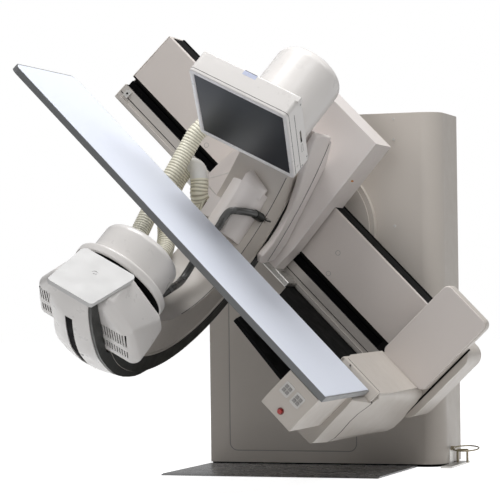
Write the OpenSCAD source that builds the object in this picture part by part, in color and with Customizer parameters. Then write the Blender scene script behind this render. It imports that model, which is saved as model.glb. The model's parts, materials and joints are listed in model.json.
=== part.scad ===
// Remote-controlled x-ray machine: a tilting patient table on a floor stand, with a C-arm
// that carries the x-ray tube below the tabletop and the flat detector above it.
// X runs along the front of the stand, Y runs back into the stand, Z is up.
// The origin lies on the floor, under the tilt axis, in the plane of the stand's front.

/* [Stand] */
// Width of the floor stand
stand_w = 1316; // [1200:4:1400]
// Depth of the floor stand
stand_d = 400; // [360:4:460]
// Height of the floor stand
stand_h = 1900; // [1800:10:2000]
// Height of the tilt axis above the floor
pivot_z = 1280; // [1275:1:1300]
// Width of the steel floor plate
plate_w = 1172; // [1000:4:1200]
// Length of the floor plate in front of the stand
plate_l = 768; // [600:4:900]
// Radius of the round bearing cover behind the table
ring_r = 388; // [340:2:400]

/* [Table] */
// Angle of the table from level, head end up
table_tilt = 46; // [0:1:60]
// Length of the tabletop
top_l = 2200; // [2000:10:2300]
// Width of the tabletop
top_w = 714; // [650:2:760]
// Thickness of the tabletop
top_t = 32; // [24:1:36]
// Width of the beam that carries the C-arm
beam_w = 452; // [430:2:460]

/* [C-arm] */
// Swing of the C-arm along the table
arm_swing = 17; // [0:1:22]
// Slide of the C-arm round its own centre
arm_orbit = 33; // [20:1:34]
// Turn of the detector in its holder
detector_turn = 4; // [0:1:20]
// Inner radius of the C-arm
arc_in = 745; // [740:1:750]
// Outer radius of the C-arm
arc_out = 1020; // [1010:1:1022]
// Width of the C-arm
arc_w = 298; // [280:2:300]
// Distance from the C-arm's centre to the detector's face
detector_gap = 304; // [290:2:310]
// Outer diameter of the corrugated hoses
hose_d = 94; // [80:1:96]

/* [Hidden] */
$fn = 72;

// Stand
stand_x0 = -576;
stand_x1 = stand_x0 + stand_w;
stand_r = 105;
shell_t = 14;
base_t = 20;
plate_t = 8;
plate_back = 6;
plate_ramp = 34;
hub_r = 120;
anchor_r = 9;
anchor_dx = 1100;
anchor_dy = 240;
anchor_y = 200;
door_x0 = -465;
door_w = 728;
door_z0 = 76;
door_h = 1060;
screw_x = 490;

// Table frame: x along the table (foot end positive), y away from the operator, z out of the table
beam_u0 = -1236;
beam_u1 = 838;
beam_y0 = -300;
beam_y1 = -80;
beam_lo = -204;
beam_hi = beam_lo + beam_w;
slot_lo = -110;
slot_hi = -54;
slot_deep = 62;
top_u0 = -1133;
top_y0 = -1950;
top_hi = -69;
top_r = 50;
top_lo = top_hi - top_t;
foot_u0 = 840;
foot_seam = -1177;
foot_gap = 9;
foot_wall = 20;
foot_skin = 7;
cover_top = -55;
front_y = -1440;
arm_plate_lo = -226;
panel_y = -480;
panel_u1 = 1136;
panel_w = 187;
panel_h = 490;
cap_y0 = -384;

// C-arm frame: x across the arm, y from the open side to the back, z from tube to detector
arm_u = -181;
arm_y = -1590;
arm_w = 177;
sleeve_back = 1114;
box_front = -470;
arc_hw = arc_w / 2;
arc_lo = -90;
arc_top = 600;
shell_r = 925;
hood_y = 300;
head_x = 40;
hood_r = 185;
hood_top = 930;
manifold_lean = 16;
band_right = 132;
slot_x = 22;
slot_lean = 2.4;
slot_front = -312;
slot_back = 280;
rim_in = 936;
plate_thick = 21;
neck_r = 165;

module tf() { translate([0, 0, pivot_z]) rotate([0, table_tilt, 0]) children(); }
module af() { tf() translate([arm_u, arm_y, arm_w]) rotate([0, -arm_swing, 0]) children(); }
// Tube head: it sits a little to one side of the C-arm's middle
module hf() { cf() translate([head_x, 0, 0]) children(); }
module cf() { af() rotate([-arm_orbit, 0, 0]) children(); }

// A box between two corners
module box(a, b) { translate(a) cube([b[0] - a[0], b[1] - a[1], b[2] - a[2]]); }
// A rectangle with round corners
module round_rect(w, h, r) {
  square([w - 2 * r, h], center = true);
  square([w, h - 2 * r], center = true);
  for (sx = [-1, 1], sy = [-1, 1]) translate([sx * (w / 2 - r), sy * (h / 2 - r)]) circle(r = r);
}
// A box with all its edges round
module soft_box(a, b, r, n = 24) {
  hull() for (x = [a[0] + r, b[0] - r], y = [a[1] + r, b[1] - r], z = [a[2] + r, b[2] - r])
    translate([x, y, z]) sphere(r = r, $fn = n);
}
// A plate in the table's x-z plane, from y0 to y1
module slab_xz(y0, y1) { translate([0, y1, 0]) rotate([90, 0, 0]) linear_extrude(y1 - y0) children(); }
// A plate in the arm's y-z plane, from x0 to x1
module slab_yz(x0, x1) {
  translate([x0, 0, 0]) rotate([90, 0, 90]) linear_extrude(x1 - x0) children();
}
// A ring section about the arm's x axis, from a0 to a1 degrees above the y axis
module ring_yz(r0, r1, x0, x1, a0, a1) {
  rotate([a0, 0, 0]) rotate([90, 0, 90]) rotate_extrude(angle = a1 - a0, $fn = 180)
    translate([r0, x0]) square([r1 - r0, x1 - x0]);
}

// Points of a smooth line through hand-chosen stations
function spline(p0, p1, p2, p3, t) =
  0.5 * (2 * p1 + (p2 - p0) * t + (2 * p0 - 5 * p1 + 4 * p2 - p3) * t * t
  + (3 * p1 - p0 - 3 * p2 + p3) * t * t * t);
function route(p, k) = [
  for (i = [0 : len(p) - 2], j = [0 : k - 1])
    spline(p[max(i - 1, 0)], p[i], p[i + 1], p[min(i + 2, len(p) - 1)], j / k),
  p[len(p) - 1]
];
function unit(v) = v / norm(v);
function heading(p, i) = unit(p[min(i + 1, len(p) - 1)] - p[max(i - 1, 0)]);
function carry(p, i) =
  i == 0 ? unit(cross(heading(p, 0), [0, 0, 1] + [1, 0, 0] * 0.3))
  : let (n = carry(p, i - 1), d = heading(p, i)) unit(n - d * (n * d));
function ring_at(c, d, n, r, k) = let (b = cross(d, n)) [
  for (j = [0 : k - 1]) c + r * (n * cos(360 * j / k) + b * sin(360 * j / k))
];
// A closed skin over equal loops of points; each loop runs clockwise seen from before the first one
module skin(rings) {
  n = len(rings);
  k = len(rings[0]);
  polyhedron([for (r = rings) each r], concat(
    [[for (j = [0 : k - 1]) j], [for (j = [k - 1 : -1 : 0]) (n - 1) * k + j]],
    [for (i = [0 : n - 2], j = [0 : k - 1]) [i * k + j, (i + 1) * k + j, (i + 1) * k + (j + 1) % k]],
    [for (i = [0 : n - 2], j = [0 : k - 1]) [i * k + j, (i + 1) * k + (j + 1) % k, i * k + (j + 1) % k]]
  ), convexity = 8);
}
module tube(p, r, k) {
  skin([for (i = [0 : len(p) - 1]) ring_at(p[i], heading(p, i), carry(p, i), r, k)]);
}

// Hose and cable routes in the C-arm frame
hose_upper_route = [
  [-120, 420, 560], [-215, 448, 560], [-320, 475, 490], [-358, 500, 400], [-358, 535, 290],
  [-347, 565, 145], [-335, 600, -60], [-295, 588, -240], [-230, 500, -420], [-165, 372, -575],
  [-150, 318, -660]
];
hose_lower_route = [
  [-161, 723, 172], [-192, 721, 171], [-217, 684, 190], [-243, 657, 235], [-278, 642, 275],
  [-314, 643, 285], [-342, 655, 255], [-348, 668, 180], [-325, 676, 90], [-275, 685, -20],
  [-205, 682, -120], [-160, 650, -220], [-130, 530, -400], [-66, 376, -575], [-55, 318, -660]
];
cable_r = 19;
cable_route = [
  [40, 330, -660], [50, 375, -570], [50, 480, -430], [25, 600, -300], [5, 612, -120],
  [2, 615, 47], [-2, 606, 101], [9, 592, 145], [47, 593, 171], [88, 615, 202], [114, 659, 231],
  [125, 710, 252]
];
lead_r = 4;
lead_route = [
  [120, 692, 245], [140, 690, 245], [149, 700, 249], [149, 740, 268], [149, 776, 290], [141, 800, 300]
];

// A frame at p with z pointing to q
module toward(p, q) {
  d = q - p;
  translate(p) rotate([0, acos(d[2] / norm(d)), atan2(d[1], d[0])]) children();
}
// The socket that a hose or cable ends in, at the start (0) or the far end (1) of its route
socket_seat = 20;
module end_bore(path, far, r, h) {
  n = len(path) - 1;
  a = far == 0 ? path[0] : path[n];
  b = far == 0 ? path[1] : path[n - 1];
  toward(a, b) translate([0, 0, -socket_seat]) cylinder(r = r, h = h + socket_seat);
}
module hose_bore(path, far) { end_bore(path, far, hose_d / 2 + 3, 110); }

// ---------------------------------------------------------------- floor stand

module stand_outline(inset) {
  w = stand_w - 2 * inset;
  d = stand_d - 2 * inset;
  r = stand_r - inset;
  translate([stand_x0 + inset, inset]) {
    translate([0, r]) square([w, d - r]);
    square([w - r, d]);
    translate([w - r, r]) circle(r = r);
  }
}

module floor_plate() {
  color("slategray") {
    box([stand_x0 + plate_ramp, -plate_l + plate_ramp, 0],
      [stand_x0 + plate_w - plate_ramp, plate_back, plate_t]);
    difference() {
      box([stand_x0, -plate_l, 0], [stand_x0 + plate_w, plate_back, plate_t]);
      box([stand_x0 + plate_ramp, -plate_l + plate_ramp, -1],
        [stand_x0 + plate_w - plate_ramp, plate_back + 1, plate_t + 1]);
      translate([0, -plate_l, 1]) rotate([atan((plate_t - 1) / plate_ramp), 0, 0])
        box([stand_x0 - 1, -50, 0], [stand_x0 + plate_w + 1, plate_ramp * 1.1, plate_t * 2]);
    }
  }
}

module base_frame() {
  color("dimgray") difference() {
    union() {
      linear_extrude(base_t) stand_outline(24);
      box([-330, 59, base_t - 1], [330, stand_d - 39, 1700]);
      box([stand_x0 + 166, 60, base_t - 1], [stand_x1 - 165, stand_d - 40, 260]);
    }
    translate([0, stand_d, pivot_z]) rotate([90, 0, 0]) cylinder(r = hub_r + 0.05, h = stand_d);
    for (sx = [-1, 1], sy = [-1, 1])
      translate([(stand_x0 + stand_x1) / 2 + sx * anchor_dx / 2, anchor_y + sy * anchor_dy / 2, -1])
        cylinder(r = anchor_r, h = base_t + 2);
    for (x = [-155, 155], z = [420, 720]) box([x - 120, 100, z], [x + 120, stand_d, z + 250]);
  }
}

module stand_cover() {
  color([0.86, 0.84, 0.81]) difference() {
    translate([0, 0, 14]) linear_extrude(stand_h - 14) stand_outline(0);
    translate([0, 0, 13]) linear_extrude(stand_h - 13 - shell_t) stand_outline(shell_t);
    translate([0, 40, pivot_z]) rotate([90, 0, 0]) cylinder(r = hub_r + 10, h = 80);
    door_cut(3);
  }
}

module door_cut(deep) {
  translate([door_x0 + door_w / 2, deep, door_z0 + door_h / 2]) rotate([90, 0, 0])
    linear_extrude(deep + 1) difference() {
      round_rect(door_w, door_h, 46);
      round_rect(door_w - 10, door_h - 10, 41);
    }
}

module service_door() {
  color([0.5, 0.48, 0.46]) translate([door_x0 + door_w / 2, 3, door_z0 + door_h / 2]) rotate([90, 0, 0])
    linear_extrude(2) difference() {
      round_rect(door_w, door_h, 46);
      round_rect(door_w - 10, door_h - 10, 41);
    }
}

module stand_plinth() {
  color("black") difference() {
    linear_extrude(14) stand_outline(8);
    translate([0, 0, -1]) linear_extrude(16) stand_outline(22);
  }
}

module cover_screws() {
  color("gray") for (z = [1868, 1757, 1292, 827, 362])
    translate([screw_x, 0, z]) rotate([90, 0, 0]) cylinder(r = 7, h = 3);
}

module bearing_ring() {
  color([0.8, 0.78, 0.75]) translate([0, 0, pivot_z]) rotate([90, 0, 0]) difference() {
    union() {
      cylinder(r = ring_r, h = 44, $fn = 120);
      cylinder(r = ring_r - 26, h = 56, $fn = 120);
    }
    translate([0, 0, -1]) cylinder(r = hub_r + 10, h = 60);
  }
}

module side_foot() {
  color("lightgray") {
    box([stand_x1, -60, 0], [stand_x1 + 62, 355, 10]);
    box([stand_x1, 120, 10], [stand_x1 + 8, 200, 96]);
  }
}

module tie_ring() {
  color("silver") {
    translate([stand_x1 + 88, 150, 92]) rotate([8, 0, 0]) rotate_extrude($fn = 64)
      translate([70, 0]) circle(r = 4, $fn = 16);
    box([stand_x1 + 8, 138, 84], [stand_x1 + 26, 162, 104]);
    translate([stand_x1 + 20, 240, 10]) cylinder(r = 6, h = 70);
    translate([stand_x1 + 20, 240, 78]) rotate([0, 90, 0]) cylinder(r = 6, h = 60);
    translate([stand_x1 + 74, 240, 10]) cylinder(r = 6, h = 74);
  }
}

// ---------------------------------------------------------------- tilting table

module tilt_hub() {
  color("gray") translate([0, stand_d - 60, pivot_z]) rotate([90, 0, 0])
    cylinder(r = hub_r, h = stand_d - 60 - beam_y1);
}

module beam_frame() {
  color([0.72, 0.71, 0.69]) tf() difference() {
    box([beam_u0 + 6, beam_y0 + 4, beam_lo], [beam_u1, beam_y1, beam_hi - 8]);
    box([beam_u0, beam_y0 - 1, slot_lo], [beam_u1 - 60, beam_y0 + slot_deep, slot_hi]);
    box([beam_u0 + 60, beam_y0 + 80, beam_lo + 20], [beam_u1 - 60, beam_y1 - 14, slot_hi + 40]);
    box([beam_u0 + 60, beam_y0 + 20, slot_hi + 60], [beam_u1 - 60, beam_y1 - 14, beam_hi - 30]);
  }
}

module beam_cover() {
  color([0.86, 0.85, 0.83]) tf() {
    box([beam_u0 + 6, beam_y0, slot_hi + 10], [beam_u1, beam_y0 + 4, beam_hi]);
    box([beam_u0 + 6, beam_y0 + 4, beam_hi - 8], [beam_u1, beam_y1 - 24, beam_hi]);
  }
}

module beam_end_cap() {
  color("whitesmoke") tf() {
    box([beam_u0, beam_y0, beam_lo], [beam_u0 + 6, beam_y1, slot_lo]);
    box([beam_u0, beam_y0, slot_hi], [beam_u0 + 6, beam_y1, beam_hi]);
    box([beam_u0, beam_y0 + slot_deep, slot_lo], [beam_u0 + 6, beam_y1, slot_hi]);
  }
}

module guide_rails() {
  color([0.6, 0.6, 0.6]) tf() {
    box([beam_u0 + 6, beam_y0, -155], [beam_u1, beam_y0 + 4, slot_lo]);
    box([beam_u0 + 6, beam_y0, beam_lo], [beam_u1, beam_y0 + 4, -160]);
    box([beam_u0 + 30, beam_y0 - 12, beam_lo + 8], [beam_u1 - 40, beam_y0, beam_lo + 26]);
  }
}

module slot_screws() {
  color("silver") tf() for (i = [0 : 15])
    translate([beam_u0 + 80 + i * 125, beam_y0 + slot_deep, (slot_lo + slot_hi) / 2]) rotate([90, 0, 0])
      cylinder(r = 6, h = 5);
}

module rear_strip() {
  color("black") tf() box([beam_u0 + 6, beam_y1 - 22, beam_hi - 8], [beam_u1, beam_y1, beam_hi + 5]);
}

module end_housing() {
  color([0.85, 0.83, 0.8]) tf() slab_xz(panel_y + 22, cap_y0 - 4)
    translate([(foot_u0 + panel_u1) / 2, panel_w]) round_rect(panel_u1 - foot_u0 + 8, panel_h + 8, 38);
}

module end_panel() {
  color([0.9, 0.89, 0.87]) tf() slab_xz(panel_y, panel_y + 22)
    translate([(foot_u0 + panel_u1) / 2, panel_w]) round_rect(panel_u1 - foot_u0, panel_h, 34);
}

module rear_cover() {
  color([0.84, 0.82, 0.79]) tf() difference() {
    slab_xz(cap_y0, beam_y1) {
      translate([(beam_u1 + 1186) / 2, 2]) round_rect(1186 - beam_u1, 492, 70);
      translate([beam_u1, -200]) square([90, 448]);
    }
    box([beam_u1 - 1, cap_y0 + 14, -220], [1160, beam_y1 - 14, 224]);
  }
}

// Outlines of the foot covers in the table's x-z plane: front end, seam and rear end
front_profile = [
  [860, -110], [1066, -110], [1074, -118], [1077, -160], [1078, -210], [1079, -260],
  [1081, -320], [1083, -370], [1082, -402], [1072, -414], [860, -414]
];
front_seam_profile = [
  [860, -110], [1094, -110], [1111, -118], [1107, -150], [1098, -205], [1096, -260],
  [1100, -320], [1100, -372], [1090, -412], [1062, -434], [860, -434]
];
seam_profile = [
  [846, -62], [1104, -62], [1118, -78], [1109, -130], [1098, -205], [1096, -260],
  [1100, -320], [1100, -372], [1090, -412], [1062, -434], [846, -434]
];
rear_profile = [
  [846, -62], [1112, -62], [1138, -80], [1146, -130], [1150, -205], [1156, -255],
  [1154, -308], [1142, -350], [1112, -392], [1064, -416], [846, -416]
];

// A solid between outline a at y0 and outline b at y1
module loft(y0, a, y1, b) { skin([[for (q = a) [q[0], y0, q[1]]], [for (q = b) [q[0], y1, q[1]]]]); }

module cross_housing() {
  color([0.9, 0.88, 0.85]) tf() difference() {
    union() {
      translate([0, 0, cover_top - foot_skin])
        linear_extrude(foot_skin) polygon([[842, panel_y - 2], [1108, panel_y - 2], [1112, -1000],
          [1104, foot_seam], [866, foot_seam], [846, -1060]]);
      box([848 + foot_wall, foot_seam + foot_wall + 2, -200], [1078, panel_y - 6, cover_top - foot_skin]);
    }
    box([884, foot_seam + 36, -201], [1058, panel_y - 24, -90]);
  }
}

module bottom_cover() {
  color([0.84, 0.82, 0.8]) tf() difference() {
    loft(foot_seam, seam_profile, cap_y0 - 4, rear_profile);
    box([848 + foot_wall, foot_seam + foot_wall + 2, -392], [1078, cap_y0 - 22, -61]);
  }
}

module front_cover() {
  color([0.88, 0.86, 0.84]) tf() difference() {
    union() {
      loft(front_y, front_profile, foot_seam - foot_gap, front_seam_profile);
      translate([868, 0, 0]) rotate([90, 0, 90]) linear_extrude(236)
        polygon([[-1232, -111], [-1232, -104], [-1208, -54], [-1196, -50], [foot_seam - foot_gap, -50],
          [foot_seam - foot_gap, -111]]);
    }
    box([880, front_y + 20, -378], [1056, foot_seam - foot_gap - 20, -130]);
  }
}

// The black plate that carries the foot end of the tabletop
module support_arm() {
  color([0.07, 0.07, 0.08]) tf() {
    translate([0, 0, arm_plate_lo]) linear_extrude(beam_lo - 1 - arm_plate_lo)
      polygon([[200, -84], [200, -300], [285, -650], [438, -1640], [802, -1741], [860, -1741],
        [860, foot_seam - foot_gap], [846, foot_seam - foot_gap], [846, panel_y - 2], [838, panel_y - 2],
        [838, -84]]);
    slab_xz(-1480, -1300) polygon([[600, arm_plate_lo], [860, arm_plate_lo], [860, -300]]);
  }
}

// ---------------------------------------------------------------- control box

box_u0 = 860;
box_u1 = 1052;
box_hi = -105;
box_lo = -311;
box_bend = -234;
box_y0 = -1946;
box_y1 = -1870;
rest_w = -109.5;

module control_box() {
  color([0.88, 0.86, 0.83]) tf() difference() {
    union() {
      box([box_u0, box_y0, box_bend], [box_u1, box_y1, box_hi]);
      box([box_u0, box_y1, box_lo], [box_u1, front_y, rest_w]);
      slab_side() polygon([[box_y0, box_bend], [box_y1, box_bend], [box_y1, box_lo], [box_y0 + 20, box_lo]]);
    }
    box([box_u0 + 16, box_y1 + 30, box_lo + 16], [box_u1 - 16, front_y - 16, rest_w - 20]);
    for (i = [0 : 7]) key_at(i) translate([0, 0, -8]) cube([13.4, 13.4, 20], center = true);
    stop_at() cylinder(r = stop_stem_r + 0.6, h = 40, center = true);
  }
}

module slab_side() {
  translate([box_u0, 0, 0]) rotate([90, 0, 90]) linear_extrude(box_u1 - box_u0) children();
}

pad_u = [913, 982];
pad_w = -178;
key_pitch = 21;

// A frame at key i, with z pointing out of the box's front
module key_at(i) {
  p = floor(i / 4);
  k = i % 4;
  translate([pad_u[p] + (k % 2 - 0.5) * key_pitch, box_y0, pad_w + (floor(k / 2) - 0.5) * key_pitch])
    rotate([90, 0, 0]) children();
}

stop_head_r = 11.5;
stop_stem_r = 8.4;
module stop_at() { translate([959, -1936, -272]) rotate([90 + 14, 0, 0]) children(); }

module keypad_frames() {
  color("gray") tf() difference() {
    for (u = pad_u) translate([u, box_y0, pad_w]) rotate([90, 0, 0]) linear_extrude(3) round_rect(54, 62, 8);
    for (i = [0 : 7]) key_at(i) cube([17, 17, 20], center = true);
  }
}

module key(i) {
  color([0.85, 0.86, 0.86]) tf() key_at(i) {
    translate([0, 0, 4.6]) cube([15.6, 15.6, 5], center = true);
    translate([0, 0, -3.4]) cube([12.6, 12.6, 12], center = true);
  }
}

module key_1() { key(0); }
module key_2() { key(1); }
module key_3() { key(2); }
module key_4() { key(3); }
module key_5() { key(4); }
module key_6() { key(5); }
module key_7() { key(6); }
module key_8() { key(7); }

module stop_button() {
  color("red") tf() stop_at() {
    translate([0, 0, 5]) cylinder(r = stop_head_r, h = 9);
    translate([0, 0, -12]) cylinder(r = stop_stem_r, h = 17);
  }
}

// ---------------------------------------------------------------- C-arm carriage

module carriage_outline() {
  polygon([[arm_u - 240, 672], [arm_u + 240, 672], [arm_u + 276, 284], [arm_u + 310, -23],
    [arm_u + 310, -172], [arm_u - 310, -172], [arm_u - 310, -23], [arm_u - 276, 284]]);
}

module carriage_box() {
  color([0.88, 0.87, 0.84]) tf() difference() {
    union() {
      slab_xz(box_front, -318) carriage_outline();
      intersection() {
        slab_xz(-319, -180) carriage_outline();
        box([-900, -400, beam_hi + 8], [900, 0, 900]);
      }
    }
    slab_xz(box_front + 18, -317) carriage_hollow();
    translate([arm_u, box_front + 30, arm_w]) rotate([90, 0, 0]) cylinder(r = 80.05, h = 40);
  }
}

module carriage_hollow() {
  polygon([[arm_u - 218, 648], [arm_u + 218, 648], [arm_u + 252, 284], [arm_u + 286, -23],
    [arm_u + 286, -150], [arm_u - 286, -150], [arm_u - 286, -23], [arm_u - 252, 284]]);
}

module carriage_foot() {
  color([0.75, 0.74, 0.72]) tf() {
    box([arm_u - 416, box_front + 4, beam_lo + 1], [arm_u + 416, -316, -172]);
    box([arm_u - 300, -318, -100], [arm_u + 300, -250, -64]);
  }
}

module status_lamp() {
  color("darkorange") tf() translate([arm_u + 266.2, -390, 432]) cube([6, 26, 8], center = true);
}

module sleeve() {
  color([0.87, 0.86, 0.83]) af() {
    difference() {
      slab_yz(-190, 190) polygon([[905, -400], [1050, -380], [sleeve_back, -280], [sleeve_back, 180],
        [1010, 310], [930, 335], [905, 335]]);
      rotate([0, 90, 0]) cylinder(r = arc_out + 6, h = 500, center = true, $fn = 180);
    }
    rotate([-90, 0, 0]) translate([0, 0, sleeve_back]) cylinder(r = 80, h = 34);
  }
}

// The cheek's back edge follows the C-arm's outside
module cheek_outline() {
  polygon(concat(
    [[770, 335], [735, 325], [735, 290], [800, 150], [880, 20], [930, -100], [925, -200], [900, -280],
      [830, -360], [880, -400]],
    [for (a = [-22.9 : 3 : 19.1]) arc_point(arc_out + 5.8, a)]
  ));
}

module sleeve_cheeks() {
  color([0.9, 0.89, 0.86]) af() {
    slab_yz(156, 190) cheek_outline();
    slab_yz(-190, -156) cheek_outline();
  }
}

// ---------------------------------------------------------------- C-arm

module hood_space() {
  translate([0, hood_y, 500]) cylinder(r = hood_r, h = 500, $fn = 120);
  rotate([39, 0, 0]) box([-arc_hw - 20, -500, 0], [arc_hw + 20, 1200, 900]);
}

module c_arc() {
  color([0.8, 0.79, 0.76]) cf() difference() {
    ring_yz(shell_r, arc_out, -arc_hw, arc_hw, arc_lo, 50);
    box([-200, 0, arc_top], [200, 1100, 1100]);
  }
}

// The cover's lower end carries a block with the sockets of the hoses and the cable
cover_end = -70;
module arc_cover() {
  color([0.84, 0.83, 0.8]) cf() difference() {
    union() {
      ring_yz(arc_in, shell_r - 0.2, -arc_hw + 4, arc_hw - 4, cover_end, 50);
      slab_yz(-arc_hw + 8, arc_hw - 8)
        polygon([[262, -626], [372, -700], [372, -760], [300, -760], [264, -722]]);
    }
    hood_space();
    end_bore(cable_route, 0, cable_r + 3, 110);
    end_bore(cable_route, 1, cable_r + 5, 60);
    end_bore(lead_route, 1, lead_r + 1, 30);
    hose_bore(hose_upper_route, 1);
    hose_bore(hose_lower_route, 1);
  }
}

module arc_rims() {
  color([0.1, 0.12, 0.11]) cf() {
    for (s = [-1, 1])
      ring_yz(rim_in, arc_out - 2, s > 0 ? arc_hw : -arc_hw - 4, s > 0 ? arc_hw + 4 : -arc_hw, -86, 30);
    slab_yz(band_right + 0.3, arc_hw) band_outline(4);
  }
}

function arc_point(r, a) = [r * cos(a), r * sin(a)];

// The band starts flush on the C-arm, bulges round its end and runs on straight
band_line = route([
  arc_point(1023, -50), arc_point(1049, -58), arc_point(1066, -71), arc_point(1084, -85),
  [-61, -1102], [-205, -1108], [-311, -1106], [-391, -1100], [-459, -1090]
], 3);
band_steps = 8;
band_crown = 23;
// Moves a point of the band outwards or, with a negative d, inwards
function shifted(p, d) = p * (1 + d / norm(p));
// How much of the crown a point of the band has: next to none at its two ends
function swell(p) = max(0.04, min(1, (p[0] + 455) / 150, (620 - p[0]) / 200));
// The band's left edge runs out from the head to the C-arm's side
function band_left(p) = -79 - 66 * max(0, min(1, (p[0] + 160) / 480));
// The band's underside lies on the C-arm and, past the C-arm's end, on the tube head
band_seat = arc_out + 1.2;
function under_band(p) = p[0] > 60 ? arc_point(band_seat, atan2(p[1], p[0])) : [p[0], head_low - 0.5];
function band_top(p, x) =
  let (l = band_left(p), t = (x - l) / (band_right - l)) shifted(p, band_crown * swell(p) * 4 * t * (1 - t));
function band_section(p) = let (l = band_left(p), q = under_band(p)) concat(
  [for (j = [0 : band_steps]) let (x = l + (band_right - l) * j / band_steps) concat(x, band_top(p, x))],
  [[band_right, q[0], q[1]], [l, q[0], q[1]]]
);

module band_outline(inset) {
  polygon(concat(
    [for (p = band_line) shifted(p, max(-inset, band_seat - norm(p)))],
    [for (i = [len(band_line) - 1 : -1 : 0]) under_band(band_line[i])]
  ));
}

module end_band() {
  color([0.9, 0.89, 0.87]) cf() difference() {
    skin([for (p = band_line) band_section(p)]);
    slot_path(20, -5, 14);
  }
}

// A strip of the given half width under the band's outside, between two depths
module slot_path(hw, top, bottom) {
  line = [for (p = band_line) if (p[0] > slot_front && p[0] < slot_back)
    band_top(p, slot_x - p[0] * tan(slot_lean))];
  translate([slot_x, 0, 0]) rotate([0, 0, slot_lean]) slab_yz(-hw, hw) polygon(concat(
    [for (p = line) shifted(p, -top)],
    [for (i = [len(line) - 1 : -1 : 0]) shifted(line[i], -bottom)]
  ));
}

module end_slot() { color("black") cf() slot_path(19.5, 5, 14); }

head_top = -800;
head_low = -1046;
vent_x = 110;

module tube_housing() {
  color([0.91, 0.9, 0.88]) hf() difference() {
    hull() {
      for (p = [[100, -290], [225, -78], [225, 70], [140, 190]], s = [-1, 1])
        translate([s * p[0], p[1], head_top - 45 + (s < 0 && p[0] > 200 ? 40 : 0)]) sphere(r = 45, $fn = 24);
      for (p = [[130, -384], [214, -235], [230, -100], [240, 76], [150, 204]], s = [-1, 1])
        translate([s * p[0], p[1], head_low + 42]) sphere(r = 42, $fn = 24);
    }
    vent_slots(3.5, 26);
    translate([-head_x, 0, head_top]) cylinder(r = neck_r + 3, h = 400);
    translate([-head_x, 0, flange_lo - 4]) cylinder(r = 246, h = 400);
    translate([neck_r + 1 - head_x, -34, head_top]) cube([36, 60, 60]);
    ring_yz(arc_in - 1, 1300, -300, 300, -90, -40);
  }
}

// Two rows of slots in the underside, on both sides of the end band
module vent_slots(hw, deep) {
  for (i = [0 : 9], s = [-1, 1]) if (s > 0 || i > 3) translate([s * (vent_x + i * 14), 0, head_low]) {
    box([-hw, -244, -1], [hw, -140, deep]);
    box([-hw, -100, -1], [hw, -36, deep]);
  }
}

module front_plate() {
  color("white") hf() translate([0, -411, -960]) rotate([60, 0, 0]) difference() {
    linear_extrude(plate_thick) polygon([[-108, -168], [108, -168], [121, -158], [144, 138], [140, 156],
      [128, 168], [-128, 168], [-140, 156], [-144, 138], [-121, -158]]);
    translate([0, 40, plate_thick - 2]) difference() {
      cylinder(r = 14, h = 5);
      translate([0, 0, -1]) cylinder(r = 9, h = 7);
    }
  }
}

module tube_neck() {
  color([0.12, 0.12, 0.12]) cf() {
    translate([0, 0, head_top]) cylinder(r = neck_r, h = flange_lo - head_top);
    box([neck_r + 3, -30, head_top], [neck_r + 31, 20, flange_lo - 6]);
  }
}

module hood() {
  color([0.93, 0.92, 0.9]) cf() difference() {
    union() {
      translate([0, hood_y, 500]) cylinder(r = hood_r, h = hood_top - 500 - 60, $fn = 120);
      translate([0, hood_y, hood_top - 60]) cylinder(r = hood_r - 60, h = 60, $fn = 120);
      translate([0, hood_y, hood_top - 60]) rotate_extrude($fn = 120) translate([hood_r - 61, 0])
        intersection() {
          circle(r = 61, $fn = 64);
          square(60);
        }
      box([-140, hood_y, 500], [140, 520, 700]);
    }
    box([-64, 236, 400], [64, 364, hood_top - 40]);
    ring_yz(arc_in - 1, 1300, -300, 300, -10, 39);
    hose_bore(hose_upper_route, 0);
  }
}

module hose_manifold() {
  color([0.88, 0.87, 0.84]) cf() {
    difference() {
      rotate([manifold_lean, 0, 0]) {
        translate([-5, 742, -135]) cylinder(r = 105, h = 285, $fn = 96);
        box([-arc_hw + 4, 690, -90], [-60, 760, 26]);
        hull() {
          slab_yz(-34, -33) polygon([[700, 110], [700, 235], [666, 222], [628, 186], [640, 110]]);
          slab_yz(88, 89) polygon([[700, 110], [700, 176], [690, 168], [672, 130], [672, 110]]);
        }
      }
      ring_yz(arc_in - 1, 1300, -300, 300, -20, 60);
    }
    rotate([manifold_lean, 0, 0]) box([-arc_hw - 3.5, 690, -90], [-arc_hw + 4, 796, 22]);
  }
}

module hose_upper() { color([0.95, 0.93, 0.84]) cf() tube(route(hose_upper_route, 4), hose_d / 2, 12); }
module hose_lower() { color([0.95, 0.93, 0.84]) cf() tube(route(hose_lower_route, 4), hose_d / 2, 12); }
module power_cable() {
  color("black") cf() {
    difference() {
      tube(route(cable_route, 3), cable_r, 12);
      end_bore(lead_route, 0, lead_r + 0.5, 30);
    }
    tube(route(lead_route, 3), lead_r, 8);
  }
}

// ---------------------------------------------------------------- detector and collimator

det_w = 560;
det_l = 530;
det_t = 128;
det_r = 22;

module df() { cf() rotate([0, 0, -detector_turn]) translate([0, 0, detector_gap]) children(); }

module detector_arm() {
  color("gray") cf() {
    difference() {
      box([-90, -100, detector_gap + det_t + 8], [90, 364, detector_gap + det_t + 56]);
      translate([0, 0, detector_gap + det_t]) cylinder(r = 40.05, h = 200, center = true);
    }
    box([-60, 240, detector_gap + det_t + 56], [60, 360, 760]);
  }
}

module detector_housing() {
  color([0.94, 0.94, 0.92]) df() {
    difference() {
      translate([0, 0, -6]) linear_extrude(det_t + 6) round_rect(det_w, det_l, det_r);
      box([-254, -237, -20], [254, 237, 10]);
    }
    translate([0, 0, det_t - 1]) cylinder(r = 40, h = 50);
  }
}

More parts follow.
